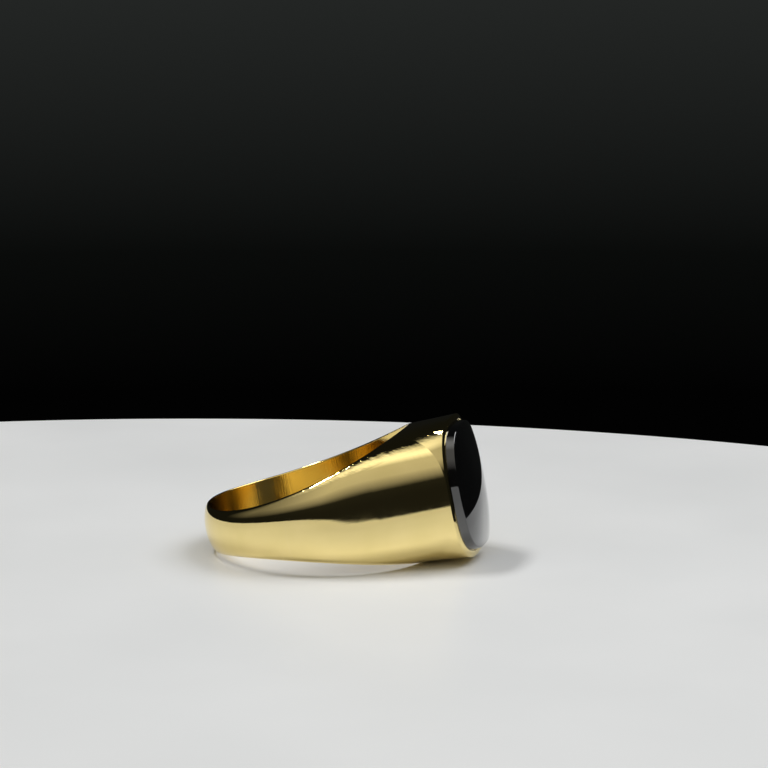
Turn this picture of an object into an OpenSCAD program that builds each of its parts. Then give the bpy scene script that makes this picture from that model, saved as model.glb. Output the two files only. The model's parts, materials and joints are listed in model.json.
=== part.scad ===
// Signet ring with a cushion-shaped inlaid stone, lying on its side at rest.
// Ring axes: +X from the finger axis to the face, +Y across the finger, +Z along the finger.
// The whole ring is tipped about Y until its lower edges stand on the plane z = 0.

/* [Finger hole] */
// Radius of the finger hole
bore_r = 9.9; // [9.7:0.05:10.1]
// Thickness of the hoop at the middle of the back
band_t = 0.75; // [0.7:0.05:1]
// How far forward the outside circle of the hoop is centred
hoop_shift = 0.26; // [0.1:0.02:0.4]

/* [Hoop width] */
// Half the hoop width at the back
half_back = 2.33; // [2.2:0.01:2.45]
// Half width a sixth of a turn from the back
half_rear = 2.27; // [2.2:0.01:2.4]
// Half width beside the finger
half_side = 3; // [2.9:0.01:3.1]
// Half width of the shoulders, a sixth of a turn from the face
half_shoulder = 4.31; // [4.2:0.01:4.4]
// Half width of the head over the front of the finger hole
half_front = 6.23; // [6.1:0.01:6.35]

/* [Section shape] */
// Squareness of the hoop section along the finger
hoop_n = 1.9; // [1.7:0.05:2.6]
// Squareness of the hoop section through its thickness
hoop_m = 1.85; // [1.7:0.05:2.4]
// Squareness of the head section through its thickness
head_m = 2; // [1.8:0.05:2.6]

/* [Head] */
// Distance from the finger axis to the edge of the face
face_x = 14.49; // [14.3:0.01:14.7]
// Half the face size across the finger
face_b = 5.53; // [5.4:0.01:5.7]
// Half the face size along the finger
face_h = 6.57; // [6.45:0.01:6.7]
// Squareness of the cushion outline
face_n = 3; // [2.6:0.1:3.6]
// How far the face curves back at its two sides
face_sag = 0.27; // [0.05:0.01:0.4]

/* [Setting] */
// Gold left outside the bezel strip at the face
wall_lip = 0.24; // [0.2:0.01:0.3]
// Total width of the rim seen round the stone
rim_w = 0.63; // [0.58:0.01:0.7]
// Height the rim rises from its outer edge to the stone
rim_rise = 0.17; // [0.12:0.01:0.25]
// Depth of the pocket for the setting, from the edge of the face
pocket_d = 2.1; // [2:0.05:2.3]
// Height of the bearing strip the stone rests on
bearing_t = 0.65; // [0.5:0.02:0.8]
// Width of the bearing strip, in from the pocket wall
bearing_w = 0.7; // [0.6:0.05:0.9]
// Thickness of the setting cement
cement_t = 0.12; // [0.08:0.02:0.2]
// Half width of the open window under the stone, across the finger
window_b = 4.8; // [4.4:0.05:4.85]
// Half width of the open window along the finger
window_h = 4.6; // [4:0.05:4.8]

/* [Stone] */
// Height of the steep edge bevel above the rim
bevel_h = 0.7; // [0.5:0.01:0.8]
// Width of the steep edge bevel
bevel_w = 0.12; // [0.08:0.01:0.2]
// Rise of the domed top above the bevel
dome_h = 0.78; // [0.5:0.01:0.9]

/* [Hidden] */
// Thickness of a solder seam
seam_t = 0.12;
// How far the rim reaches over the stone's girdle
under_lip = 0.1;
// Corner radius of the window
window_r = 1;
// Height of the rim left above the stone's girdle
rim_over = 0.13;
// Width of the rim's crest, and its fall to the outside
crest_w = 0.08;
crest_fall = 0.02;
// How far rough solids run past a cut
overrun = 0.8;
// Largest section parameter, just short of the outermost line
last_a = 88;
// Steepest tilt tried when the ring is laid down, and the number of halvings
tilt_most = 25;
halvings = 24;
cut = asin(seam_t / 2 / bore_r);
half_n = 14;
ring_n = 72;
hoop_r = bore_r + band_t + hoop_shift;
edge_x = face_x - face_sag;
edge_a = atan2(face_b, edge_x);
flank_a = atan2(face_b, edge_x - hoop_shift)
    + acos(hoop_r / sqrt(pow(edge_x - hoop_shift, 2) + pow(face_b, 2)));
join_a = atan2(hoop_r * sin(flank_a), hoop_shift + hoop_r * cos(flank_a));
flank_d = hoop_r + hoop_shift * cos(flank_a);
top_slope = (face_h / half_front - 1) / (face_x - bore_r);
floor_x = face_x - pocket_d;
seat_x = floor_x + bearing_t;
base_x = seat_x + cement_t;
top_x = face_x + rim_rise;
girdle_in = rim_w - under_lip;
gold = [0.86, 0.68, 0.33];
onyx = [0.02, 0.02, 0.025];
resin = [0.12, 0.1, 0.09];
solder = [0.88, 0.74, 0.45];

// ---- curves that shape the gold ----
// Angles run from the middle of the face, round the finger axis.

knots = [-1, -0.5, 0, 0.5, 1];
halves = [half_back, half_rear, half_side, half_shoulder, half_front];
// Product of the terms that make the weight of knot i at c.
function terms(c, i, j) = j > 4 ? 1
    : (j == i ? 1 : (c - knots[j]) / (knots[i] - knots[j])) * terms(c, i, j + 1);
// Half width of the finger hole's wall at angle a.
function half_w(a) = let (c = cos(a), t = [for (i = [0:4]) halves[i] * terms(c, i, 0)])
    t[0] + t[1] + t[2] + t[3] + t[4];
// 0 at the back of the hoop, 1 over the face.
function front(a) = min((1 + cos(a)) / (1 + cos(edge_a)), 1);
// Squareness of the section at a, along the finger and through the thickness.
function sq_n(a) = hoop_n + (face_n - hoop_n) * front(a);
function sq_m(a) = hoop_m + (head_m - hoop_m) * front(a);
// Growth of the top surface outwards from the finger hole.
function grow(a, r) = 1 + top_slope * pow(max(cos(a), 0), 2) * (r - bore_r);
// Outside radius in plan: circle round the back, straight flank to the face.
function plan(a) = a > join_a
    ? hoop_shift * cos(a) + sqrt(pow(hoop_r, 2) - pow(hoop_shift * sin(a), 2))
    : flank_d / cos(a - flank_a);
// Radius and half height of the edge of the face at angle a.
function face_r(a) = let (k = face_sag * pow(sin(a) / face_b, 2), c = cos(a))
    2 * face_x / (c + sqrt(c * c + 4 * k * face_x));
function face_z(a) = face_h * pow(max(1 - pow(face_r(a) * sin(a) / face_b, face_n), 0), 1 / face_n);
// Share of the section's full depth that the face leaves at angle a.
function share(a) = a >= edge_a ? 1
    : let (q = face_z(a) / (half_w(a) * grow(a, face_r(a))))
        pow(max(1 - pow(min(q, 1), sq_n(a)), 0.000001), 1 / sq_m(a));
function depth(a) = a >= edge_a ? plan(a) - bore_r : (face_r(a) - bore_r) / share(a);
// Point k of the upper half of the section at a, from the finger hole's edge outwards, as [r, z].
function upper(a, k) = let (last = min(asin(pow(share(a), sq_m(a) / 2)), last_a),
    t = last * k / half_n,
    r = bore_r + depth(a) * pow(sin(t), 2 / sq_m(a)))
    [r, half_w(a) * grow(a, r) * pow(cos(t), 2 / sq_n(a))];
// Closed section at signed angle s, reaching a little inside the finger hole.
function section(s) = let (a = min(abs(s), 360 - abs(s)), h = half_w(a),
    u = concat([[bore_r - overrun, h]], [for (k = [1:half_n]) upper(a, k)]),
    p = concat(u, [for (k = [half_n:-1:0]) [u[k][0], -u[k][1]]]))
    [for (q = p) [q[0] * cos(s), q[0] * sin(s), q[1]]];
// Signed power, for superellipses.
function sp(v, e) = sign(v) * pow(abs(v), e);

// ---- solids between rows of points ----

// Solid through a row of equal sections, flat at both ends.
module sweep(rows) {
    m = len(rows);
    n = len(rows[0]);
    pts = [for (r = rows, p = r) p];
    side = [for (j = [0:m - 2], i = [0:n - 1])
        let (k = (i + 1) % n)
        each [[j * n + i, (j + 1) * n + i, (j + 1) * n + k],
            [j * n + i, (j + 1) * n + k, j * n + k]]];
    q = (m - 1) * n;
    low = [for (i = [0:n / 2 - 2]) let (k = n - 1 - i)
        each [[k, i, i + 1], [k, i + 1, k - 1]]];
    high = [for (f = low) [f[2] + q, f[1] + q, f[0] + q]];
    polyhedron(points = pts, faces = concat(side, low, high), convexity = 6);
}

// Closes a stack of equal closed loops; the two end loops are capped in strips of equal Y.
module loft(rows) {
    m = len(rows);
    n = len(rows[0]);
    pts = [for (r = rows, p = r) p];
    side = [for (j = [0:m - 2], i = [0:n - 1])
        let (k = (i + 1) % n)
        each [[j * n + i, (j + 1) * n + i, (j + 1) * n + k],
            [j * n + i, (j + 1) * n + k, j * n + k]]];
    low = [for (i = [0:n / 2 - 1])
        let (a = i, b = i + 1, c = (n - i - 1) % n, d = (n - i) % n)
        each concat(i == n / 2 - 1 ? [] : [[a, b, c]], i == 0 ? [] : [[a, c, d]])];
    q = (m - 1) * n;
    high = [for (f = low) [f[2] + q, f[1] + q, f[0] + q]];
    polyhedron(points = pts, faces = concat(side, low, high), convexity = 6);
}

// A closed loop of loops, as for a ring with a constant profile.
module loop_loft(rows) {
    m = len(rows);
    n = len(rows[0]);
    pts = [for (r = rows, p = r) p];
    side = [for (j = [0:m - 1], i = [0:n - 1])
        let (k = (i + 1) % n, l = (j + 1) % m)
        each [[j * n + i, l * n + i, l * n + k],
            [j * n + i, l * n + k, j * n + k]]];
    polyhedron(points = pts, faces = side, convexity = 6);
}

// Angle of point i on a superellipse, starting on +Y and evenly spaced.
function at(i) = i * 360 / ring_n;
// A point of a cushion outline of half sizes b and h, at height x, curved with the face.
function cushion_pt(x, b, h, i) = let (e = 2 / face_n, y = b * sp(cos(at(i)), e))
    [x - face_sag * pow(y / face_b, 2), y, h * sp(sin(at(i)), e)];
function cushion(x, inset) = [for (i = [0:ring_n - 1]) cushion_pt(x, face_b - inset, face_h - inset, i)];

module finger_hole() {
    cylinder(h = 60, r = bore_r, center = true, $fn = 96);
}

// A ring that follows the cushion outline; profile points are [height, inset from the face edge].
module cushion_ring(profile) {
    m = len(profile);
    loop_loft([for (i = [0:ring_n - 1])
        [for (q = profile) cushion_pt(q[0], face_b - q[1], face_h - q[1], i)]]);
}

// Pocket for the setting, open at the face.
module pocket() {
    loft([cushion(floor_x, wall_lip), cushion(top_x + overrun, wall_lip)]);
}

// Window from the finger hole to the back of the stone, straight-sided with round corners.
module window() {
    rotate([0, 90, 0])
        linear_extrude(height = floor_x + overrun)
            union() {
                square([2 * window_h, 2 * (window_b - window_r)], center = true);
                square([2 * (window_h - window_r), 2 * window_b], center = true);
                for (s = [-1, 1], t = [-1, 1])
                    translate([s * (window_h - window_r), t * (window_b - window_r)])
                        circle(r = window_r, $fn = 24);
            }
}

// ---- resting on the plane ----

front_pts = [for (a = [0:2:76], k = [0:half_n]) let (u = upper(a, k)) [u[0] * cos(a), -u[1]]];
back_pts = [for (a = [104:2:180], k = [0:half_n]) let (u = upper(a, k)) [u[0] * cos(a), -u[1]]];
function lift(l, a) = min([for (p = l) p[0] * sin(a) + p[1] * cos(a)]);
// Angle at which front and back touch the plane together.
function settle(lo, hi, k) = let (a = (lo + hi) / 2)
    k == 0 ? a
    : lift(front_pts, a) < lift(back_pts, a) ? settle(a, hi, k - 1) : settle(lo, a, k - 1);
tilt = settle(0, tilt_most, halvings);
low_z = min(lift(front_pts, tilt), lift(back_pts, tilt));
crease_h = face_h - rim_w - bevel_w;
dome_pts = [for (j = [-10:10]) let (k = j / 10) [top_x + bevel_h + dome_h * (1 - k * k), k * crease_h]];
function ends(l, s) = [for (p = l) p[0] * cos(tilt) - s * p[1] * sin(tilt)];
mid_x = (max(ends(dome_pts, 1)) + min(ends(back_pts, -1))) / 2;

module rest_pose() {
    translate([-mid_x, 0, -low_z])
        rotate([0, -tilt, 0])
            children();
}

// ---- pieces ----

// Rear half of the hoop.
module shank() {
    steps = 44;
    color(gold)
        rest_pose()
            difference() {
                sweep([for (j = [0:steps]) section(90 + cut + (180 - 2 * cut) * j / steps)]);
                finger_hole();
            }
}

// Angles of the head's sections: evenly over the face, then along the flank and shoulder.
function head_angles() = let (q = [for (j = [0:11]) edge_a * sin(90 * j / 12)],
    p = [for (j = [0:19]) edge_a + (90 - cut - edge_a) * j / 19],
    r = concat(q, p), n = len(r))
    concat([for (i = [n - 1:-1:1]) -r[i]], r);

// Shoulders and head in one, with the setting pocket and the open window behind it.
module head() {
    color(gold)
        rest_pose()
            difference() {
                sweep([for (a = head_angles()) section(a)]);
                finger_hole();
                pocket();
                window();
            }
}

// Thin wafer of solder between shank and head, on the side given by s.
module solder_seam(s) {
    color(solder)
        rest_pose()
            difference() {
                sweep([section(180 - 90 * s - cut), section(180 - 90 * s + cut)]);
                finger_hole();
            }
}

module solder_seam_left() {
    solder_seam(1);
}

module solder_seam_right() {
    solder_seam(-1);
}

// Strip the stone rests on, inside the pocket.
module bearing_strip() {
    color(gold)
        rest_pose()
            cushion_ring([[floor_x, wall_lip], [floor_x, wall_lip + bearing_w],
                [seat_x, wall_lip + bearing_w], [seat_x, wall_lip]]);
}

// Strip round the stone, its top edge burnished over the stone's shoulder.
module bezel_strip() {
    color(gold)
        rest_pose()
            cushion_ring([[seat_x, wall_lip], [seat_x, girdle_in], [top_x - rim_over, girdle_in],
                [top_x, rim_w], [top_x - crest_fall, rim_w - crest_w],
                [face_x + rim_rise * (wall_lip / rim_w) + 0.01, wall_lip + 0.02], [face_x, wall_lip]]);
}

// Thin bed of cement between the bearing strip and the stone.
module setting_cement() {
    color(resin)
        rest_pose()
            cushion_ring([[seat_x, girdle_in], [seat_x, wall_lip + bearing_w],
                [base_x, wall_lip + bearing_w], [base_x, girdle_in]]);
}

// Cushion stone with a steep bevel and a low domed top.
module onyx_stone() {
    crease_b = face_b - rim_w - bevel_w;
    steps = 9;
    color(onyx)
        rest_pose()
            loft(concat(
                [cushion(base_x, girdle_in), cushion(top_x - rim_over, girdle_in),
                    cushion(top_x, rim_w)],
                [for (j = [0:steps])
                    let (k = cos(j * 84 / steps), x = top_x + bevel_h + dome_h * (1 - k * k))
                    [for (i = [0:ring_n - 1]) cushion_pt(x, k * crease_b, k * crease_h, i)]]));
}

shank();
head();
solder_seam_left();
solder_seam_right();
bearing_strip();
bezel_strip();
setting_cement();
onyx_stone();
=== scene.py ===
import json
import math

import bmesh
import bpy
import numpy as np
from mathutils import Matrix, Vector


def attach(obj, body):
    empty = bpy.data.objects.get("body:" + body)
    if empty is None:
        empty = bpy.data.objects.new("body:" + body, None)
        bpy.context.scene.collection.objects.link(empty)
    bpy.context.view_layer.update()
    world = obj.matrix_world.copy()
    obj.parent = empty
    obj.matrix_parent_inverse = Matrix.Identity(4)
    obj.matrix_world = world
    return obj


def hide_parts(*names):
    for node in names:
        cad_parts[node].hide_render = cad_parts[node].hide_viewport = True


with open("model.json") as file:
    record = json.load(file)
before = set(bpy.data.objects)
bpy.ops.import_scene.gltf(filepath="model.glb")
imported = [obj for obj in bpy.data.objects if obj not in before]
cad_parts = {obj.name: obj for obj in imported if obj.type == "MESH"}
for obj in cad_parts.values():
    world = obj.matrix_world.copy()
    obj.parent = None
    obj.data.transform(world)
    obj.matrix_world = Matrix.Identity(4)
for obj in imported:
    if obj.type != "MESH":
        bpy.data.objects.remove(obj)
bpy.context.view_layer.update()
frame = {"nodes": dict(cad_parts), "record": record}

# The ring's shapes are worked out in millimetres in its own axes (X from the finger
# axis to the face, Y across the finger, Z along it). lay() then puts them in the
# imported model's frame, with the place and tilt of the finger hole's packed mount.

MM = 0.001

# ---------------------------------------------------------------- dimensions
BORE = 9.9             # radius of the finger hole
BAND = 0.75            # thickness of the hoop at its back
SHIFT = 0.26           # how far the hoop's circle lies towards the face
# Half widths of the band at the finger hole, and the cosines of their angles from the face
HALVES = (2.33, 2.27, 3.0, 4.31, 6.23)
KNOTS = (-1.0, -0.5, 0.0, 0.5, 1.0)
# Exponents of the sections' rounding, along the finger (N) and outwards (M)
HOOP_N, HOOP_M, HEAD_M = 1.9, 1.85, 2.0
# Face: distance, half width, half height, fullness of its outline, fall to its sides
FACE_X, FACE_B, FACE_H, FACE_N, SAG = 14.49, 5.53, 6.57, 3.0, 0.27
# Rim: width of the head's own lip, whole width, rise to the stone, height over the girdle
LIP, RIM_W, RIM_RISE, RIM_OVER = 0.24, 0.63, 0.17, 0.13
# Setting: depth of the pocket, bearing strip's height and width, cement's thickness
POCKET, BEARING_T, BEARING_W, CEMENT = 2.1, 0.65, 0.7, 0.12
# Window: half width, half height, radius of its corners
WINDOW_B, WINDOW_H, WINDOW_R = 4.8, 4.6, 1.0
# Stone: height and width of the bevel, height of the dome
BEVEL_H, BEVEL_W, DOME_H = 0.7, 0.12, 0.78
SEAM, UNDER = 0.12, 0.1    # thickness of a solder seam, rim's reach over the girdle
EDGE_R = 0.16              # rounding of the finger hole's two edges

TINY = 1e-9                # slack for comparing angles

# The hoop's outer circle, the edge of the face, and the straight flank from that edge to
# where it touches the circle
HOOP_R = BORE + BAND + SHIFT
EDGE_X = FACE_X - SAG
EDGE_A = math.atan2(FACE_B, EDGE_X)
EDGE_FAR = math.hypot(EDGE_X - SHIFT, FACE_B)
FLANK_A = math.atan2(FACE_B, EDGE_X - SHIFT) + math.acos(HOOP_R / EDGE_FAR)
JOIN_A = math.atan2(HOOP_R * math.sin(FLANK_A), SHIFT + HOOP_R * math.cos(FLANK_A))
FLANK_D = HOOP_R + SHIFT * math.cos(FLANK_A)
TOP_SLOPE = (FACE_H / HALVES[4] - 1) / (FACE_X - BORE)
CUT = math.asin(SEAM / 2 / BORE)    # half a seam, as an angle
# Heights along X: pocket's floor, top of the bearing strip, stone's back, rim's crest
FLOOR_X = FACE_X - POCKET
SEAT_X = FLOOR_X + BEARING_T
BASE_X = SEAT_X + CEMENT
TOP_X = FACE_X + RIM_RISE
GIRDLE = RIM_W - UNDER
CREST_IN = RIM_W - 0.10     # inset of the rim's crest from the edge of the face
CROWN_N = 1.8               # fullness of the rim's rounding
CROWN_STEPS = 7             # points across the rim's rounding on each piece

mount = frame["record"]["mounts"][0]
TILT = math.atan2(-mount["axis"][0], mount["axis"][2])
BORE_AT = np.array(mount["pos_m"])


def lay(p):
    """Points in the ring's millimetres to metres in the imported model's frame."""
    p = np.asarray(p, float) * MM
    c, s = math.cos(TILT), math.sin(TILT)
    x = p[..., 0] * c - p[..., 2] * s
    z = p[..., 0] * s + p[..., 2] * c
    return np.stack([x, p[..., 1], z], -1) + BORE_AT


def turn(n):
    """The same turn as lay(), for directions."""
    c, s = math.cos(TILT), math.sin(TILT)
    return np.stack([n[..., 0] * c - n[..., 2] * s, n[..., 1],
                     n[..., 0] * s + n[..., 2] * c], -1)


# ---------------------------------------------------------------- ring curves
def half_w(a):
    """Half width of the band at angle a, by the polynomial through HALVES."""
    c = np.cos(a)
    out = 0
    for i, v in enumerate(HALVES):
        term = v
        for j, k in enumerate(KNOTS):
            if j != i:
                term = term * (c - k) / (KNOTS[i] - k)
        out = out + term
    return out


def front(a):
    """Share of the head's shape at angle a: 1 at the face, 0 at the back."""
    return np.minimum((1 + np.cos(a)) / (1 + math.cos(EDGE_A)), 1)


def sq_n(a):
    """Fullness of the section along the finger."""
    return HOOP_N + (FACE_N - HOOP_N) * front(a)


def sq_m(a):
    """Fullness of the section outwards."""
    return HOOP_M + (HEAD_M - HOOP_M) * front(a)


def grow(a, r):
    """How much wider the head is at radius r than at the finger hole."""
    return 1 + TOP_SLOPE * np.maximum(np.cos(a), 0) ** 2 * (r - BORE)


FLANK_FLOOR = 0.05                # keeps the flank's line finite past its end
BLEND = math.radians(15.0)        # half the angle that plan() averages over
BLEND_FACE = math.radians(25)     # it grows to that over this angle from the face
BLEND_BACK = math.radians(60)     # and shrinks again over this angle to the back
BLEND_STEPS = 15


def plan_sharp(a):
    """Outside radius in plan: circle round the back, straight flank to the face."""
    circle = SHIFT * np.cos(a) + np.sqrt(HOOP_R ** 2 - (SHIFT * np.sin(a)) ** 2)
    line = FLANK_D / np.maximum(np.cos(a - FLANK_A), FLANK_FLOOR)
    return np.where(a > JOIN_A, circle, line)


def plan(a):
    """Plan radius with the flank eased into the hoop's circle, for an even reflection."""
    w = BLEND * np.clip((a - EDGE_A) / BLEND_FACE, 0, 1) * np.clip(
        (math.pi - a) / BLEND_BACK, 0, 1)
    steps = np.linspace(-1, 1, BLEND_STEPS)
    weight = (1 - steps ** 2) ** 2
    return sum(k * plan_sharp(a + t * w) for t, k in zip(steps, weight)) / weight.sum()


def face_r(a):
    """Radius at which the middle line of the curved face is met at angle a."""
    k = SAG * (np.sin(a) / FACE_B) ** 2
    c = np.cos(a)
    return 2 * FACE_X / (c + np.sqrt(c * c + 4 * k * FACE_X))


def face_z(a):
    """Half height of the face's outline at angle a."""
    y = np.minimum(face_r(a) * np.sin(a) / FACE_B, 1)
    return FACE_H * np.maximum(1 - y ** FACE_N, 0) ** (1 / FACE_N)


def reach(a):
    """Depth of the section beyond the bore, and the largest section parameter."""
    f = np.minimum(a, EDGE_A)
    rf = face_r(f)
    q = face_z(f) / (half_w(f) * grow(f, rf))
    share = np.maximum(1 - np.minimum(q, 1) ** sq_n(f), TINY) ** (1 / sq_m(f))
    inside = a < EDGE_A - TINY
    depth = np.where(inside, (rf - BORE) / share, plan(a) - BORE)
    last = np.where(inside, np.arcsin(np.minimum(share, 1) ** (sq_m(f) / 2)), math.pi / 2)
    return depth, last


FILLET_N, SKIN_N = 7, 52   # points round the finger hole's edge, then over the skin
CROWDING = 1.08            # above 1 sets the skin's points closer near the finger hole
FLAT_Z = 1e-6              # heights below this are the middle plane


def half_section(a):
    """Radii and heights of the upper half section: rounded bore edge, then the skin."""
    a = np.abs(np.asarray(a, float))[:, None]
    depth, last = reach(a)
    phi = np.linspace(0, math.pi / 2, FILLET_N)[None, :]
    m, n = sq_m(a), sq_n(a)
    rise = EDGE_R * (1 - np.cos(phi))
    t0 = np.arcsin(np.minimum(rise / depth, 1) ** (m / 2))
    u = np.linspace(0, 1, SKIN_N + 1)[None, 1:] ** CROWDING
    t = t0[:, -1:] + (last - t0[:, -1:]) * u
    t = np.concatenate([t0, t], 1)
    r = BORE + depth * np.sin(t) ** (2 / m)
    z = half_w(a) * grow(a, r) * np.maximum(np.cos(t), 0) ** (2 / n)
    z[np.abs(z) < FLAT_Z] = 0
    back = np.maximum(EDGE_R - (r - BORE), 0)
    drop = EDGE_R - np.sqrt(np.maximum(EDGE_R ** 2 - back ** 2, 0))
    return r, z - drop


def polar_skin(a):
    """Points of the upper half sections at angles a."""
    r, z = half_section(a)
    a = np.asarray(a, float)[:, None]
    return np.stack([r * np.cos(a), r * np.sin(a), z], -1)


def outline(inset, phi):
    """Cushion outline at polar angles phi in the Y-Z plane, set in by inset."""
    b, h = FACE_B - inset, FACE_H - inset
    c, s = np.cos(phi), np.sin(phi)
    rho = (np.abs(c / b) ** FACE_N + np.abs(s / h) ** FACE_N) ** (-1 / FACE_N)
    return rho * c, rho * s


def on_face(x, y, z):
    """Points at height x, dropped to follow the curve of the face."""
    return np.stack(np.broadcast_arrays(x - SAG * (y / FACE_B) ** 2, y, z), -1)


def crown(inset):
    """Height of the polished, rounded rim above the edge of the face."""
    share = np.clip(inset / CREST_IN, 0, 1)
    return RIM_RISE * (1 - (1 - share) ** CROWN_N)


# ---------------------------------------------------------------- mesh building
# Floors for a length before it divides: a face's cross product, a direction
LEAST_CROSS, LEAST_UNIT = 1e-30, 1e-12


def grid_normals(p, wrap=False):
    """Area-weighted vertex normals of a grid of points; wrap joins its last column on."""
    q = np.concatenate([p, p[:, :1]], 1) if wrap else p
    d1 = q[1:, 1:] - q[:-1, :-1]
    d2 = q[:-1, 1:] - q[1:, :-1]
    f = np.cross(d1, d2)
    n = np.zeros_like(q)
    n[:-1, :-1] += f
    n[1:, 1:] += f
    n[:-1, 1:] += f
    n[1:, :-1] += f
    if wrap:
        n[:, 0] += n[:, -1]
        n = n[:, :-1]
    return n / np.maximum(np.linalg.norm(n, axis=-1, keepdims=True), LEAST_CROSS)


SAME_POINT = 1e-7          # corners closer than this are one
WELD = 2e-5                # points in the same cell of this size become one vertex
FAR = 1e9                  # an angle past every other


class Builder:
    """Collects patches with their own normals and welds them into one mesh."""

    def __init__(self):
        self.points, self.faces, self.normals = [], [], []
        self.count = 0

    def grid(self, p, n, wrap=False):
        """Adds quads between the points p, with the normals n."""
        rows, cols = p.shape[:2]
        base = self.count
        flat_p = p.reshape(-1, 3)
        flat_n = n.reshape(-1, 3)
        self.points.append(flat_p)
        self.count += rows * cols
        for i in range(rows - 1):
            for j in range(cols if wrap else cols - 1):
                k = (j + 1) % cols
                f = [i * cols + j, (i + 1) * cols + j, (i + 1) * cols + k, i * cols + k]
                self.face([base + v for v in f], flat_n[f], flat_p[f])

    def face(self, ids, normals, pts):
        """Adds one face without repeated corners, turned to agree with its normals."""
        pts = np.asarray(pts)
        keep = [i for i in range(len(ids))
                if np.linalg.norm(pts[i] - pts[i - 1]) > SAME_POINT]
        if len(keep) < 3:
            return
        ids = [ids[i] for i in keep]
        nn = np.asarray(normals)[keep]
        pp = pts[keep]
        area = sum((np.cross(pp[i] - pp[0], pp[i + 1] - pp[0]) for i in range(1, len(keep) - 1)),
                   np.zeros(3))
        if np.dot(area, nn.sum(0)) < 0:
            ids, nn = ids[::-1], nn[::-1]
        self.faces.append(ids)
        self.normals.append(nn)

    def polygon(self, pts, normal):
        """Adds one flat face."""
        base = self.count
        pts = np.asarray(pts)
        self.points.append(pts)
        self.count += len(pts)
        self.face(list(range(base, base + len(pts))), np.tile(normal, (len(pts), 1)), pts)

    def zipper(self, outer, inner, normal):
        """Triangles between two loops listed with rising polar angle."""
        base = self.count
        a, b = np.asarray(outer[0]), np.asarray(inner[0])
        pa, pb = outer[1], inner[1]
        pts = np.concatenate([a, b])
        self.points.append(pts)
        self.count += len(pts)
        i = j = 0
        na, nb = len(a), len(b)
        while i < na or j < nb:
            ta = pa[i + 1] if i + 1 < na else (pa[0] + 2 * math.pi if i < na else FAR)
            tb = pb[j + 1] if j + 1 < nb else (pb[0] + 2 * math.pi if j < nb else FAR)
            if ta <= tb:
                f = [i % na, (i + 1) % na, na + j % nb]
                i += 1
            else:
                f = [na + j % nb, na + (j + 1) % nb, i % na]
                j += 1
            self.face([base + v for v in f], np.tile(normal, (3, 1)), pts[f])

    def object(self, name, material):
        """Welds what was added into one mesh object with its normals and attributes."""
        pts = np.concatenate(self.points)
        key = np.round(pts / WELD).astype(np.int64)
        first, back = np.unique(key, axis=0, return_index=True, return_inverse=True)[1:]
        back = back.reshape(-1)
        faces, normals = [], []
        for f, n in zip(self.faces, self.normals):
            g = [int(back[v]) for v in f]
            keep = [i for i in range(len(g)) if g[i] != g[i - 1]]
            if len(keep) >= 3 and len(set(g[i] for i in keep)) == len(keep):
                faces.append([g[i] for i in keep])
                normals.append(n[keep])
        ring = pts[first]
        mesh = bpy.data.meshes.new(name)
        mesh.from_pydata([tuple(v) for v in lay(ring)], [], faces)
        nn = turn(np.concatenate(normals))
        nn /= np.maximum(np.linalg.norm(nn, axis=1, keepdims=True), LEAST_UNIT)
        mesh.shade_smooth()
        mesh.normals_split_custom_set([tuple(v) for v in nn])
        # The ring's own axes, in millimetres, for the materials: they run on round the hoop.
        att = mesh.attributes.new("ring", "FLOAT_VECTOR", "POINT")
        att.data.foreach_set("vector", ring.astype(np.float32).ravel())
        # Where on the section: share of the half width, turn from the face, depth past the bore.
        rad = np.hypot(ring[:, 0], ring[:, 1])
        ang = np.abs(np.arctan2(ring[:, 1], ring[:, 0]))
        share = np.abs(ring[:, 2]) / (half_w(ang) * grow(ang, rad))
        zone = mesh.attributes.new("zone", "FLOAT_VECTOR", "POINT")
        zone.data.foreach_set("vector", np.stack([share, np.degrees(ang), rad - BORE],
                                                 1).astype(np.float32).ravel())
        obj = bpy.data.objects.new(name, mesh)
        bpy.context.scene.collection.objects.link(obj)
        mesh.materials.append(material)
        return obj


# ---------------------------------------------------------------- angles of the sections
OUTLINE_STEP = 1.5         # degrees between points on the face's outline
LEAST_STEP = math.radians(0.012)    # sections of the face are at least this far apart
LEAST_GAP = math.radians(0.006)     # and this far from the edge of the face
CORNER_STEP = 18           # degrees between points round the window's corners
FLANK_FROM, FLANK_TO = 22.5, 89.5   # degrees; sections a degree apart over the flank
BACK_FROM, BACK_TO = 91, 270        # degrees; the same round the back
LEAST_TURN = 2e-5          # of two sections closer than this the second is left out


def face_angles():
    """Angles whose sections end on the face's outline at even polar angles."""
    y = outline(0, np.radians(np.arange(90, 0, -OUTLINE_STEP)))[0]
    x = FACE_X - SAG * (y / FACE_B) ** 2
    a = np.arctan2(y, x)
    keep = [0.0]
    for v in a[1:]:
        if v - keep[-1] > LEAST_STEP and EDGE_A - v > LEAST_GAP:
            keep.append(float(v))
    return keep + [EDGE_A]


def half_head_angles():
    """Angles of the head's sections from the middle of the face to one seam."""
    corners = [math.asin((WINDOW_B - WINDOW_R + WINDOW_R * math.sin(math.radians(d))) / BORE)
               for d in range(0, 91, CORNER_STEP)]
    flank = list(np.radians(np.arange(FLANK_FROM, FLANK_TO, 1.0)))
    a = sorted(set(face_angles() + corners + flank + [math.pi / 2 - CUT]))
    return [v for i, v in enumerate(a) if i == 0 or v - a[i - 1] > LEAST_TURN]


def signed(a):
    """The same angles between minus and plus half a turn."""
    return (np.asarray(a) + math.pi) % (2 * math.pi) - math.pi


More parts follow.
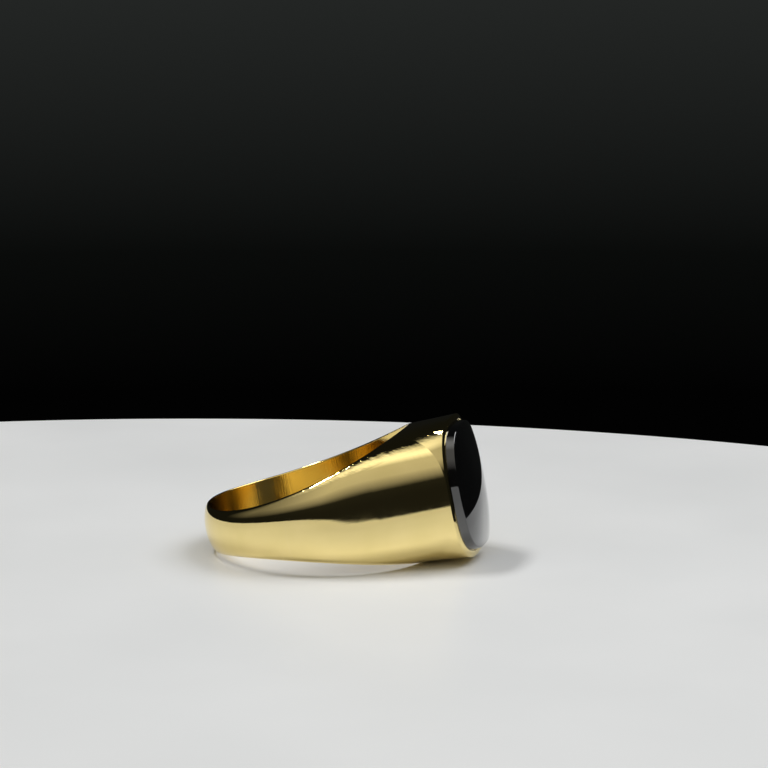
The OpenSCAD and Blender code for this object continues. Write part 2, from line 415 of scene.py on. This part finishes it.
WIN_A = math.asin(WINDOW_B / BORE)
HALF_A = half_head_angles()
HEAD_A = np.array([-v for v in HALF_A[:0:-1]] + HALF_A)
SHANK_A = np.concatenate([[math.pi / 2 + CUT], np.radians(np.arange(BACK_FROM, BACK_TO, 1.0)),
                          [3 * math.pi / 2 - CUT]])
ALL_A = np.concatenate([HEAD_A, [math.pi / 2], SHANK_A, [3 * math.pi / 2]])
WALL_DROP = 0.02           # stands for the finger hole's wall below the skin's first points
FLATTEN = 0.3              # makes "outwards" mean mostly away from the finger's axis


def skin_normals(skin):
    """Normals of the upper skin, even round the ring and over its middle plane."""
    loop = np.concatenate([skin[-1:], skin, skin[:1]])
    mirror = loop[:, -2:-1] * np.array([1, 1, -1])
    wall = loop[:, :1] - np.array([0, 0, WALL_DROP])
    n = grid_normals(np.concatenate([wall, loop, mirror], 1))[1:-1, 1:-1].copy()
    # in front, the skin ends at the edge of the face and not at the middle plane
    to_edge = grid_normals(loop)[1:-1]
    in_front = np.abs(signed(ALL_A)) < EDGE_A - TINY
    n[in_front, -1] = to_edge[in_front, -1]
    out = skin * np.array([1, 1, FLATTEN])
    way = np.sign(np.sum(n[:, SKIN_N // 2] * out[:, SKIN_N // 2], -1))
    n *= way[:, None, None]
    n[~in_front, -1, 2] = 0
    return n / np.maximum(np.linalg.norm(n, axis=-1, keepdims=True), LEAST_UNIT)


# Skin of the whole ring at once, so that its normals run smoothly across the seams.
SKIN_UP = polar_skin(signed(ALL_A))
SKIN_N_UP = skin_normals(SKIN_UP)


def skin_rows(rows, sign):
    """Points and normals of some sections' upper (1) or lower (-1) skin."""
    p = SKIN_UP[rows].copy()
    n = SKIN_N_UP[rows].copy()
    p[..., 2] *= sign
    n[..., 2] *= sign
    return p, n


def wall_grid(a, z):
    """Bore wall at angles a (rows) and heights z (rows by columns), with radial normals."""
    a = np.asarray(a)[:, None] + np.zeros_like(z)
    p = np.stack([BORE * np.cos(a), BORE * np.sin(a), z], -1)
    n = np.stack([-np.cos(a), -np.sin(a), np.zeros_like(a)], -1)
    return p, n


WALL_B, WALL_C = 8, 14     # quads across the wall's outer bands and its middle
STRAIGHT_Z = WINDOW_H - WINDOW_R    # half height of the window's straight sides
WALL_TOP = float(half_w(WIN_A) - EDGE_R)    # top of the wall beside the window


def wall_heights(a):
    """Heights across the bore wall, keeping the window's straight side on vertices."""
    top = half_w(np.abs(a))[:, None] - EDGE_R
    split = top * (STRAIGHT_Z / WALL_TOP)
    up = np.linspace(0, 1, WALL_B + 1)[None, :]
    mid = np.linspace(-1, 1, WALL_C + 1)[None, :]
    lower = -top + (top - split) * up
    middle = split * mid
    upper = split + (top - split) * up
    return np.concatenate([lower[:, :-1], middle[:, :-1], upper], 1)


def section_cap(a):
    """Outline of the flat end at angle a."""
    p = polar_skin([a])[0]
    low = (p * np.array([1, 1, -1]))[::-1][1:]
    z = wall_heights(np.array([a]))[0]
    wall = np.stack([BORE * math.cos(a) + 0 * z, BORE * math.sin(a) + 0 * z, z], -1)[1:-1]
    return np.concatenate([p, low, wall])


def rows_of(lo, hi):
    """Which sections lie between two angles."""
    return np.where((ALL_A > lo - TINY) & (ALL_A < hi + TINY))[0]


def make_hoop(name, rows, material):
    """A stretch of the hoop: skin, wall of the finger hole and two flat ends."""
    b = Builder()
    for s in (1, -1):
        b.grid(*skin_rows(rows, s))
    a = signed(ALL_A[rows])
    b.grid(*wall_grid(a, wall_heights(a)))
    for end, way in ((rows[0], -1), (rows[-1], 1)):
        e = signed(ALL_A[end])
        b.polygon(section_cap(e), way * np.array([-math.sin(e), math.cos(e), 0]))
    return b.object(name, material)


def window_z(y):
    """Half height of the window at distance y from its middle."""
    y = np.abs(y)
    over = np.clip(y - (WINDOW_B - WINDOW_R), 0, WINDOW_R)
    return WINDOW_H - WINDOW_R + np.sqrt(np.maximum(WINDOW_R ** 2 - over ** 2, 0))


def make_head(name, material):
    """The head with its shoulders, the pocket for the setting and the window."""
    b = Builder()
    rows = rows_of(-math.pi / 2 + CUT, math.pi / 2 - CUT)
    for s in (1, -1):
        b.grid(*skin_rows(rows, s))
    a = ALL_A[rows]
    # wall of the finger hole: whole beside the window, one band above it and one below
    for side in (a[a >= WIN_A - TINY], a[a <= -WIN_A + TINY]):
        b.grid(*wall_grid(side, wall_heights(side)))
    over = a[np.abs(a) <= WIN_A + TINY]
    zt = half_w(np.abs(over))[:, None] - EDGE_R
    zh = window_z(BORE * np.sin(over))[:, None]
    band = zh + (zt - zh) * np.linspace(0, 1, WALL_B + 1)[None, :]
    for s in (1, -1):
        b.grid(*wall_grid(over, s * band))
    for e, way in ((a[0], -1), (a[-1], 1)):
        b.polygon(section_cap(e), way * np.array([-math.sin(e), math.cos(e), 0]))
    # rounded lip at the edge of the face
    on = a[np.abs(a) <= EDGE_A + TINY]
    ye = face_r(np.abs(on)) * np.sin(on)
    ze = face_z(np.minimum(np.abs(on), EDGE_A))
    ze[0] = ze[-1] = 0
    y = np.concatenate([ye[::-1], ye[1:-1]])
    z = np.concatenate([ze[::-1], -ze[1:-1]])
    polar = np.arctan2(z, y) % (2 * math.pi)
    y1, z1 = outline(LIP, polar)
    land = [on_face(FACE_X, y, z)]
    for inset in np.linspace(0, LIP, CROWN_STEPS)[1:]:
        land.append(on_face(FACE_X + crown(inset), *outline(inset, polar)))
    land = np.stack(land)
    nl = grid_normals(land, wrap=True)
    b.grid(land, nl * np.sign(nl[..., 0].mean()), wrap=True)
    # side of the pocket, and its floor round the window
    side = np.stack([0 * y, -np.cos(polar), -np.sin(polar)], -1)
    b.grid(np.stack([land[-1], on_face(FLOOR_X, y1, z1)]), np.stack([side, side]), wrap=True)
    yo = BORE * np.sin(over)
    zo = window_z(yo)
    zs = np.linspace(STRAIGHT_Z, -STRAIGHT_Z, WALL_C + 1)[1:-1]
    wy = np.concatenate([yo[::-1], 0 * zs - WINDOW_B, yo, 0 * zs + WINDOW_B])
    wz = np.concatenate([zo[::-1], zs, -zo, zs[::-1]])
    wp = np.arctan2(wz, wy) % (2 * math.pi)
    order = np.argsort(wp)
    wy, wz, wp = wy[order], wz[order], wp[order]
    po = np.argsort(polar)
    b.zipper((on_face(FLOOR_X, y1, z1)[po], polar[po]), (on_face(FLOOR_X, wy, wz), wp),
             np.array([1.0, 0, 0]))
    # sides of the window
    ny = np.where(np.abs(wz) <= STRAIGHT_Z + FLAT_Z, -np.sign(wy), -np.sign(wy) * np.clip(
        (np.abs(wy) - (WINDOW_B - WINDOW_R)) / WINDOW_R, 0, 1))
    nz = -np.sign(wz) * np.sqrt(np.maximum(1 - ny ** 2, 0))
    nw = np.stack([0 * ny, ny, nz], -1)
    inner = np.stack([np.sqrt(BORE ** 2 - wy ** 2), wy, wz], -1)
    b.grid(np.stack([on_face(FLOOR_X, wy, wz), inner]), np.stack([nw, nw]), wrap=True)
    return b.object(name, material)


ALIKE = 0.75               # cosine above which two faces of a profile shade as one


def make_loop(name, profile, material, count=288, wobble=None):
    """A closed ring of a constant profile of [height, inset] round the cushion outline."""
    phi = np.linspace(0, 2 * math.pi, count, endpoint=False)
    rows = []
    for k, (x, inset) in enumerate(profile):
        extra = wobble(phi, k) if wobble else (0, 0)
        y, z = outline(inset + extra[1], phi)
        rows.append(on_face(x + extra[0], y, z))
    rows.append(rows[0])
    b = Builder()
    p = np.stack(rows)
    mid = p[:-1].mean(0)
    # a normal per profile segment, softened where the segments meet at a small angle
    seg_n = []
    for k in range(len(p) - 1):
        n = grid_normals(p[k:k + 2], wrap=True)
        out = (p[k] + p[k + 1]) / 2 - mid
        flip = np.sign(np.sum(n[0] * out, -1).mean())
        seg_n.append(n * flip)
    m = len(seg_n)
    for k in range(m):
        n0, n1 = seg_n[k][0].copy(), seg_n[k][1].copy()
        for near, which in ((seg_n[k - 1][1], 0), (seg_n[(k + 1) % m][0], 1)):
            mine = n0 if which == 0 else n1
            ok = np.sum(mine * near, -1) > ALIKE
            mixed = mine + near
            mixed /= np.linalg.norm(mixed, axis=-1, keepdims=True)
            mine[ok] = mixed[ok]
        b.grid(p[k:k + 2], np.stack([n0, n1]), wrap=True)
    return b.object(name, material)


STONE_N = 320              # points round the stone
FOOT_DOWN, FOOT_OUT = 0.02, 0.012   # foot of the bevel, below and outside the rim's edge
BEVEL_ROWS, CREASE_ROWS, DOME_ROWS = 7, 8, 40
CREASE_R = 0.07            # the crease's rounding begins this far below it
CREASE_IN = 1.1            # and ends this many times as far in on the dome


def make_stone(name, material):
    """Cushion stone: girdle, steep bevel, softly rounded crease and low dome."""
    phi = np.linspace(0, 2 * math.pi, STONE_N, endpoint=False)
    rows = []

    def add(x, inset):
        y, z = outline(inset, phi)
        rows.append(on_face(x, y, z))

    crease = TOP_X + BEVEL_H
    inset = RIM_W + BEVEL_W
    # under the rim
    add(BASE_X, GIRDLE)
    add(TOP_X - RIM_OVER, GIRDLE)
    add(TOP_X - FOOT_DOWN, RIM_W - FOOT_OUT)
    # the bevel
    cut_low = len(rows)
    for t in np.linspace(0, 1, BEVEL_ROWS):
        add(TOP_X - FOOT_DOWN + (crease - CREASE_R - TOP_X + FOOT_DOWN) * t,
            RIM_W - FOOT_OUT + (BEVEL_W * (1 - CREASE_R / BEVEL_H) + FOOT_OUT) * t)
    # the crease, rounded as a curve from the bevel to the dome, and the dome
    b_low = BEVEL_W * CREASE_R / BEVEL_H
    k1 = 1 - CREASE_R * CREASE_IN / (FACE_B - inset)
    x1 = crease + DOME_H * (1 - k1 * k1)
    p0 = on_face(crease - CREASE_R, *outline(inset - b_low, phi))
    p1 = on_face(crease, *outline(inset, phi))
    y, z = outline(inset, phi)
    p2 = on_face(x1, y * k1, z * k1)
    for t in np.linspace(0, 1, CREASE_ROWS)[1:]:
        rows.append(p0 * (1 - t) ** 2 + p1 * 2 * t * (1 - t) + p2 * t * t)
    for k in k1 * np.cos(np.linspace(0, math.pi / 2, DOME_ROWS)[1:-1]):
        rows.append(on_face(crease + DOME_H * (1 - k * k), y * k, z * k))
    b = Builder()
    low = np.stack(rows[:cut_low + 1])
    for k in range(cut_low):
        n = grid_normals(low[k:k + 2], wrap=True)
        out = np.stack([0 * phi, np.cos(phi), np.sin(phi)], -1)
        n *= np.sign(np.sum(n[0] * out, -1).mean())
        b.grid(low[k:k + 2], n, wrap=True)
    top = np.stack(rows[cut_low:])
    apex = np.tile(on_face(crease + DOME_H, np.array(0.0), np.array(0.0)), (1, len(phi), 1))
    full = np.concatenate([top, apex])
    n = grid_normals(full, wrap=True)
    n *= np.sign(n[len(full) // 2, :, 0].mean())
    n[-1] = (1, 0, 0)
    b.grid(full, n, wrap=True)
    # the flat back comes last, so that it can be given its own material
    b.polygon(rows[0][::-1], np.array([-1.0, 0, 0]))
    return b.object(name, material)


# ---------------------------------------------------------------- materials
def new_material(name):
    """A node material, its tree and its shader."""
    m = bpy.data.materials.new(name)
    m.use_nodes = True
    nt = m.node_tree
    return m, nt, nt.nodes["Principled BSDF"]


def node(nt, kind, **sockets):
    """A node with some of its sockets set."""
    n = nt.nodes.new(kind)
    for k, v in sockets.items():
        n.inputs[k.replace("_", " ")].default_value = v
    return n


def noise(nt, coords, scale, detail=2.0, rough=0.5, stretch=None):
    """Noise over coords; scale is features per unit, which is a millimetre in "ring"."""
    src = coords
    if stretch:
        mp = nt.nodes.new("ShaderNodeMapping")
        mp.inputs["Scale"].default_value = stretch
        nt.links.new(coords, mp.inputs["Vector"])
        src = mp.outputs["Vector"]
    n = node(nt, "ShaderNodeTexNoise", Scale=scale, Detail=detail, Roughness=rough)
    nt.links.new(src, n.inputs["Vector"])
    return n.outputs["Fac"]


def ramp(nt, fac, stops):
    """A colour ramp through the stops, each a position and a colour."""
    r = nt.nodes.new("ShaderNodeValToRGB")
    e = r.color_ramp.elements
    e[0].position, e[0].color = stops[0][0], stops[0][1]
    e[1].position, e[1].color = stops[-1][0], stops[-1][1]
    for pos, col in stops[1:-1]:
        x = e.new(pos)
        x.color = col
    nt.links.new(fac, r.inputs["Fac"])
    return r.outputs["Color"]


def remap(nt, fac, a, b, lo, hi):
    """Turns the range a to b into lo to hi, and holds it there outside."""
    r = node(nt, "ShaderNodeMapRange", From_Min=a, From_Max=b, To_Min=lo, To_Max=hi)
    nt.links.new(fac, r.inputs["Value"])
    return r.outputs["Result"]


def bump(nt, height, strength, distance, normal=None):
    """Bump from a height, over another bump's normal if given; distance in metres."""
    b = node(nt, "ShaderNodeBump", Strength=strength, Distance=distance)
    nt.links.new(height, b.inputs["Height"])
    if normal:
        nt.links.new(normal, b.inputs["Normal"])
    return b.outputs["Normal"]


def math_node(nt, op, a, b):
    """An arithmetic node; each side is a number or another node's output."""
    n = nt.nodes.new("ShaderNodeMath")
    n.operation = op
    for i, v in enumerate((a, b)):
        if isinstance(v, (int, float)):
            n.inputs[i].default_value = v
        else:
            nt.links.new(v, n.inputs[i])
    return n.outputs[0]


def ring_coords(nt):
    """The point's place in the ring's own axes, in millimetres."""
    a = nt.nodes.new("ShaderNodeAttribute")
    a.attribute_name = "ring"
    return a.outputs["Vector"]


def gold_material(name, tint, rough=0.035, satin=0.0):
    """Polished gold with haze, hairlines, waviness and pits; satin in the finger hole."""
    m, nt, bsdf = new_material(name)
    bsdf.inputs["Metallic"].default_value = 1.0
    co = ring_coords(nt)
    zone = nt.nodes.new("ShaderNodeAttribute")
    zone.attribute_name = "zone"
    where_on = nt.nodes.new("ShaderNodeSeparateXYZ")
    nt.links.new(zone.outputs["Vector"], where_on.inputs[0])
    # 1 on the wall of the finger hole, 0 outside it
    inside = remap(nt, where_on.outputs["Z"], 0.012, 0.05, 1.0, 0.0)
    # colour: slight drift, and painted shade: a deeper, more orange tint on the finger hole's wall
    # in place of light bounced round inside it
    drift = noise(nt, co, scale=0.35, detail=3.0)
    lo = [c * 0.965 for c in tint]
    hi = [min(c * 1.02, 1) for c in tint]
    lo[2] *= 0.96
    col = ramp(nt, drift, [(0.3, (*lo, 1)), (0.7, (*hi, 1))])
    # painted shade: the finger hole's wall is multiplied to a deeper orange, standing in for its
    # bounced light
    bore_painted_shade = nt.nodes.new("ShaderNodeMix")
    bore_painted_shade.data_type = "RGBA"
    bore_painted_shade.blend_type = "MULTIPLY"
    bore_painted_shade.inputs["B"].default_value = (0.97, 0.90, 0.70, 1)
    nt.links.new(inside, bore_painted_shade.inputs["Factor"])
    nt.links.new(col, bore_painted_shade.inputs["A"])
    nt.links.new(bore_painted_shade.outputs["Result"], bsdf.inputs["Base Color"])
    # roughness: haze of the polishing wheel outside, streaks along the finger inside
    clouds = noise(nt, co, scale=1.4, detail=5.0, rough=0.6)
    haze = remap(nt, clouds, 0.35, 0.75, rough * 0.6, rough * 1.7)
    streak = noise(nt, co, scale=1.0, detail=4.0, rough=0.65, stretch=(9.0, 9.0, 0.35))
    satin_r = remap(nt, streak, 0.3, 0.7, 0.035 + satin, 0.08 + satin)
    mix = nt.nodes.new("ShaderNodeMix")
    nt.links.new(inside, mix.inputs["Factor"])
    nt.links.new(haze, mix.inputs["A"])
    nt.links.new(satin_r, mix.inputs["B"])
    nt.links.new(mix.outputs["Result"], bsdf.inputs["Roughness"])
    # bump: waviness of hand polishing, hairlines, and the satin's streaks
    wave = noise(nt, co, scale=0.22, detail=1.0, rough=0.4)
    n1 = bump(nt, wave, strength=0.35, distance=0.00002)
    lines = noise(nt, co, scale=1.0, detail=3.0, rough=0.7, stretch=(1.2, 1.2, 22.0))
    fine = math_node(nt, "MULTIPLY", lines, math_node(nt, "SUBTRACT", 1.0, inside))
    n2 = bump(nt, fine, strength=0.10, distance=0.000004, normal=n1)
    brushed = math_node(nt, "MULTIPLY", streak, inside)
    n3 = bump(nt, brushed, strength=0.5, distance=0.000016, normal=n2)
    # head and shoulders keep the casting's pits beside the finger hole's two edges
    side = remap(nt, where_on.outputs["X"], 0.80, 0.95, 0.0, 1.0)
    ahead = remap(nt, where_on.outputs["Y"], 105.0, 45.0, 0.0, 1.0)
    where = math_node(nt, "MULTIPLY", side, ahead)
    where = math_node(nt, "MULTIPLY", where, math_node(nt, "SUBTRACT", 1.0, inside))
    peel = noise(nt, co, scale=2.1, detail=2.2, rough=0.5, stretch=(0.75, 1.0, 1.0))
    pits = math_node(nt, "MULTIPLY", peel, where)
    n4 = bump(nt, pits, strength=1.0, distance=0.00007, normal=n3)
    nt.links.new(n4, bsdf.inputs["Normal"])
    return m


def onyx_material():
    """Polished black onyx: faint clouds, haze and hairlines under a clear gloss."""
    m, nt, bsdf = new_material("onyx_polished")
    co = ring_coords(nt)
    cloud = noise(nt, co, scale=0.5, detail=4.0, rough=0.6)
    col = ramp(nt, cloud, [(0.35, (0.0016, 0.0016, 0.0018, 1)), (0.75, (0.0034, 0.0033, 0.0036, 1))])
    nt.links.new(col, bsdf.inputs["Base Color"])
    haze = noise(nt, co, scale=2.5, detail=5.0, rough=0.65)
    rough = remap(nt, haze, 0.35, 0.75, 0.012, 0.04)
    nt.links.new(rough, bsdf.inputs["Roughness"])
    bsdf.inputs["IOR"].default_value = 1.8
    bsdf.inputs["Coat Weight"].default_value = 1.0
    bsdf.inputs["Coat IOR"].default_value = 1.5
    bsdf.inputs["Coat Roughness"].default_value = 0.012
    lines = noise(nt, co, scale=1.0, detail=3.0, rough=0.7, stretch=(5.0, 5.0, 18.0))
    nt.links.new(bump(nt, lines, strength=0.05, distance=0.000002), bsdf.inputs["Normal"])
    return m


def onyx_back_material():
    """The stone's unpolished back, seen through the window."""
    m, nt, bsdf = new_material("onyx_ground_back")
    co = ring_coords(nt)
    grit = noise(nt, co, scale=6.0, detail=5.0, rough=0.65)
    col = ramp(nt, grit, [(0.3, (0.14, 0.146, 0.142, 1)), (0.7, (0.22, 0.228, 0.222, 1))])
    nt.links.new(col, bsdf.inputs["Base Color"])
    nt.links.new(remap(nt, grit, 0.3, 0.7, 0.35, 0.5), bsdf.inputs["Roughness"])
    nt.links.new(bump(nt, grit, strength=0.3, distance=0.00002), bsdf.inputs["Normal"])
    return m


def cement_material():
    """Dark, matt, gritty cement."""
    m, nt, bsdf = new_material("setting_cement_dark")
    tc = nt.nodes.new("ShaderNodeTexCoord")
    speck = noise(nt, tc.outputs["Object"], scale=4000.0, detail=4.0, rough=0.6)
    col = ramp(nt, speck, [(0.3, (0.012, 0.010, 0.008, 1)), (0.7, (0.035, 0.029, 0.022, 1))])
    nt.links.new(col, bsdf.inputs["Base Color"])
    nt.links.new(remap(nt, speck, 0.3, 0.7, 0.45, 0.65), bsdf.inputs["Roughness"])
    nt.links.new(bump(nt, speck, strength=0.4, distance=0.00003), bsdf.inputs["Normal"])
    return m


def table_material():
    """Pale satin lacquer."""
    m, nt, bsdf = new_material("table_pale_lacquer")
    tc = nt.nodes.new("ShaderNodeTexCoord")
    soft = noise(nt, tc.outputs["Object"], scale=40.0, detail=3.0)
    col = ramp(nt, soft, [(0.3, (0.790, 0.800, 0.805, 1)), (0.7, (0.815, 0.823, 0.828, 1))])
    nt.links.new(col, bsdf.inputs["Base Color"])
    nt.links.new(remap(nt, soft, 0.3, 0.7, 0.34, 0.40), bsdf.inputs["Roughness"])
    nt.links.new(bump(nt, soft, strength=0.05, distance=0.00005), bsdf.inputs["Normal"])
    bsdf.inputs["Specular IOR Level"].default_value = 0.2
    return m


GOLD = (0.96, 0.78, 0.35)
gold = gold_material("gold_polished", GOLD)
gold_rim = gold_material("gold_rim_burnished", (0.95, 0.77, 0.35), rough=0.05)
gold_inner = gold_material("gold_inner_satin", (0.92, 0.72, 0.32), rough=0.16, satin=0.12)
solder = gold_material("solder_polished", (0.96, 0.78, 0.36))
onyx = onyx_material()
cement = cement_material()


# ---------------------------------------------------------------- the ring's pieces
def finish_piece(obj, slot, *nodes):
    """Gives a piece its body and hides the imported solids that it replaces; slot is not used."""
    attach(obj, "root")
    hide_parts(*nodes)


shank = make_hoop("shank_visual", rows_of(math.pi / 2 + CUT, 3 * math.pi / 2 - CUT), gold)
finish_piece(shank, "gold", "shank")

head = make_head("head_visual", gold)
finish_piece(head, "gold", "head")

seam_l = make_hoop("seam_left_visual", rows_of(math.pi / 2 - CUT, math.pi / 2 + CUT), solder)
finish_piece(seam_l, "solder", "solder_seam_left")

# The right seam closes the loop: the shank's last section, the middle, and the head's first.
seam_r = make_hoop("seam_right_visual", np.array([len(ALL_A) - 2, len(ALL_A) - 1, 0]), solder)
finish_piece(seam_r, "solder", "solder_seam_right")

BEARING_CUT = 0.06         # small bevel on the bearing strip's inner edge
BEARING_PROFILE = [(FLOOR_X, LIP), (SEAT_X, LIP), (SEAT_X, LIP + BEARING_W - BEARING_CUT),
                   (SEAT_X - BEARING_CUT, LIP + BEARING_W), (FLOOR_X, LIP + BEARING_W)]
bearing = make_loop("bearing_visual", BEARING_PROFILE, gold_inner)
finish_piece(bearing, "inner_gold", "bearing_strip")


# From the crest down to the stone: depth below the crest, distance short of the stone
RIM_FALL = ((0.018, 0.06), (0.055, 0.035), (0.10, 0.022))
RIM_PROFILE = ([(SEAT_X, GIRDLE), (SEAT_X, LIP)]
               + [(FACE_X + float(crown(inset)), float(inset))
                  for inset in np.linspace(LIP, CREST_IN, CROWN_STEPS)]
               + [(TOP_X - down, RIM_W - short) for down, short in RIM_FALL]
               + [(TOP_X - RIM_OVER, GIRDLE)])
# Share of the burnishing's unevenness that each point of the profile near the stone takes
BURNISHED = {7: 0.4, 8: 0.8, 9: 1.0, 10: 1.0, 11: 1.0}
# The unevenness: waves round the rim, where they start, and their size in millimetres
WAVES = ((9, 0.7, 0.020), (17, 2.1, 0.016), (31, 4.0, 0.013), (47, 1.3, 0.011))
BEADS, BEAD_SIZE = 83, 0.026
BEAD_DRIFT, BEAD_CYCLES = 3, 5      # how unevenly the beads are spaced, and how often
SINK, LEAST_SINK = 0.35, 0.002      # how far the uneven edge sinks
RIM_N = 540                # points round the rim


def burnish(phi, k):
    """Hand-burnished unevenness of the rim's inner edge: offsets in height and inset."""
    share = BURNISHED.get(k, 0.0)
    slow = sum(size * np.sin(waves * phi + start) for waves, start, size in WAVES)
    bead = np.sin(BEADS * phi + BEAD_DRIFT * np.sin(BEAD_CYCLES * phi))
    bead = BEAD_SIZE * np.maximum(bead, 0) ** 3
    return -share * (SINK * np.abs(slow) + LEAST_SINK), share * (slow - bead)


rim = make_loop("bezel_visual", RIM_PROFILE, gold_rim, count=RIM_N, wobble=burnish)
finish_piece(rim, "gold_rim", "bezel_strip")

stone = make_stone("onyx_visual", onyx)
stone.data.materials.append(onyx_back_material())
stone.data.polygons[len(stone.data.polygons) - 1].material_index = 1
finish_piece(stone, "onyx", "onyx_stone")

# The cement's own shape is right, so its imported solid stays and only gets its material.
for cement_slot in frame["nodes"]["setting_cement"].material_slots:
    cement_slot.material = cement


# ---------------------------------------------------------------- table and backdrop
TABLE_N = 240              # points round the table top
TABLE_EDGE_N = 8           # points over its rounded edge
SHARP = math.radians(30)   # edges that turn more than this stay sharp


def table_top(centre, semi, turned, thick, edge):
    """Oval table top with a rounded edge, its upper face on z = 0; millimetres."""
    bm = bmesh.new()
    loops = []
    prof = [(edge * (1 - math.sin(t)), -edge * (1 - math.sin(math.pi / 2 - t)))
            for t in np.linspace(0, math.pi / 2, TABLE_EDGE_N)]
    prof.append((0, -thick))
    c, s = math.cos(turned), math.sin(turned)
    for inset, z in prof:
        loop = []
        for t in np.linspace(0, 2 * math.pi, TABLE_N, endpoint=False):
            x, y = (semi[0] - inset) * math.cos(t), (semi[1] - inset) * math.sin(t)
            loop.append(bm.verts.new(((centre[0] + x * c - y * s) * MM,
                                      (centre[1] + x * s + y * c) * MM, z * MM)))
        loops.append(loop)
    for a, b in zip(loops, loops[1:]):
        for i in range(TABLE_N):
            j = (i + 1) % TABLE_N
            bm.faces.new((a[i], b[i], b[j], a[j]))
    bm.faces.new(loops[0])
    bm.faces.new(loops[-1][::-1])
    bmesh.ops.recalc_face_normals(bm, faces=bm.faces)
    mesh = bpy.data.meshes.new("table_top")
    bm.to_mesh(mesh)
    bm.free()
    mesh.shade_smooth()
    obj = bpy.data.objects.new("table_top", mesh)
    bpy.context.scene.collection.objects.link(obj)
    mesh.materials.append(table_material())
    mesh.set_sharp_from_angle(angle=SHARP)
    return obj


table = table_top(centre=(-3.4, -5.5), semi=(100.0, 70.0), turned=math.radians(2.0),
                  thick=12.0, edge=1.2)


# ---------------------------------------------------------------- light
def aim(az, el, far):
    """A point seen from the ring at azimuth az (0 in front, + to the right) and height el."""
    a, e = math.radians(az), math.radians(el)
    return Vector((math.sin(a) * math.cos(e), -math.cos(a) * math.cos(e), math.sin(e))) * far


def area_light(name, az, el, far, power, colour, size, size_y=None):
    """A soft box aimed at the ring; square unless size_y is given."""
    data = bpy.data.lights.new(name, "AREA")
    data.energy = power
    data.color = colour
    data.size = size
    if size_y:
        data.shape = "RECTANGLE"
        data.size_y = size_y
    obj = bpy.data.objects.new(name, data)
    bpy.context.scene.collection.objects.link(obj)
    obj.location = aim(az, el, far)
    obj.rotation_euler = (-Vector(obj.location)).to_track_quat("-Z", "Y").to_euler()


# Two plain soft boxes, one on each side; the light from above the camera is the world's glow.
area_light("soft_left", az=-95, el=65, far=0.9, power=3.2, colour=(1.0, 1.0, 1.0),
           size=0.30, size_y=0.10)
area_light("soft_right", az=120, el=55, far=0.9, power=4.2, colour=(0.97, 0.98, 1.0), size=0.60)


def studio_world():
    """A plain studio: soft glow above the camera, dim low down, a black cloth behind."""
    world = bpy.data.worlds.new("studio")
    bpy.context.scene.world = world
    world.use_nodes = True
    nt = world.node_tree
    way = nt.nodes.new("ShaderNodeSeparateXYZ")
    nt.links.new(nt.nodes.new("ShaderNodeTexCoord").outputs["Generated"], way.inputs[0])
    # dark low down, a soft wall in the middle, bright above
    wall = ramp(nt, way.outputs["Z"], [
        (0.0, (0.012, 0.012, 0.011, 1)), (0.12, (0.016, 0.016, 0.014, 1)),
        (0.22, (0.24, 0.23, 0.21, 1)), (0.40, (0.52, 0.50, 0.45, 1)),
        (0.72, (0.58, 0.56, 0.50, 1)), (0.88, (1.35, 1.33, 1.25, 1))])
    # brightest a little to the right of the camera, falling off to both sides
    across = remap(nt, way.outputs["X"], -1.0, 1.0, 0.0, 1.0)
    sideways = ramp(nt, across, [
        (0.10, (0.3, 0.3, 0.3, 1)), (0.62, (1.0, 1.0, 1.0, 1)), (0.80, (1.0, 1.0, 1.0, 1)),
        (0.92, (0.12, 0.12, 0.12, 1))])
    ahead = remap(nt, way.outputs["Y"], 0.15, -0.3, 0.0, 1.0)
    room = nt.nodes.new("ShaderNodeMix")
    room.data_type = "RGBA"
    room.inputs["A"].default_value = (0.007, 0.0074, 0.007, 1)
    nt.links.new(math_node(nt, "MULTIPLY", ahead, sideways), room.inputs["Factor"])
    nt.links.new(wall, room.inputs["B"])
    # the camera sees a dark cloth, a little lighter towards the top, in place of the glow
    cloth = ramp(nt, remap(nt, way.outputs["Z"], -0.18, -0.05, 0.0, 1.0), [
        (0.0, (0.0006, 0.0006, 0.0006, 1)), (0.35, (0.0030, 0.0034, 0.0031, 1)),
        (1.0, (0.0172, 0.0190, 0.0180, 1))])
    seen = nt.nodes.new("ShaderNodeMix")
    seen.data_type = "RGBA"
    path = nt.nodes.new("ShaderNodeLightPath")
    nt.links.new(path.outputs["Is Camera Ray"], seen.inputs["Factor"])
    nt.links.new(room.outputs["Result"], seen.inputs["A"])
    nt.links.new(cloth, seen.inputs["B"])
    nt.links.new(seen.outputs["Result"], nt.nodes["Background"].inputs["Color"])


studio_world()

# ---------------------------------------------------------------- camera
# The photograph's viewing angle, from a fit to the ring's outline: where the camera
# stands from the middle of the finger hole, then which way it looks.
CAM_DIST = 0.2826
CAM_LIFT = math.radians(12.598)
CAM_TURN = math.radians(15.102)
CAM_PITCH = math.radians(10.267)
CAM_YAW = math.radians(-1.314)
CAM_LENS, CAM_SENSOR = 140.625, 36.0
CAM_NEAR, CAM_FAR = 0.01, 10.0

cam_data = bpy.data.cameras.new("camera")
cam_data.lens = CAM_LENS
cam_data.sensor_width = CAM_SENSOR
cam_data.clip_start = CAM_NEAR
cam_data.clip_end = CAM_FAR
cam = bpy.data.objects.new("camera", cam_data)
bpy.context.scene.collection.objects.link(cam)
offset = Vector((math.sin(CAM_TURN) * math.cos(CAM_LIFT), -math.cos(CAM_TURN) * math.cos(CAM_LIFT),
                 math.sin(CAM_LIFT))) * CAM_DIST
look = (Matrix.Rotation(CAM_TURN + CAM_YAW, 4, "Z")
        @ Matrix.Rotation(math.pi / 2 - CAM_PITCH, 4, "X"))
cam.matrix_world = Matrix.Translation(Vector(BORE_AT) + offset) @ look
bpy.context.scene.camera = cam

view = bpy.context.scene.view_settings
view.view_transform = "Standard"
view.look = "None"

bpy.context.view_layer.update()
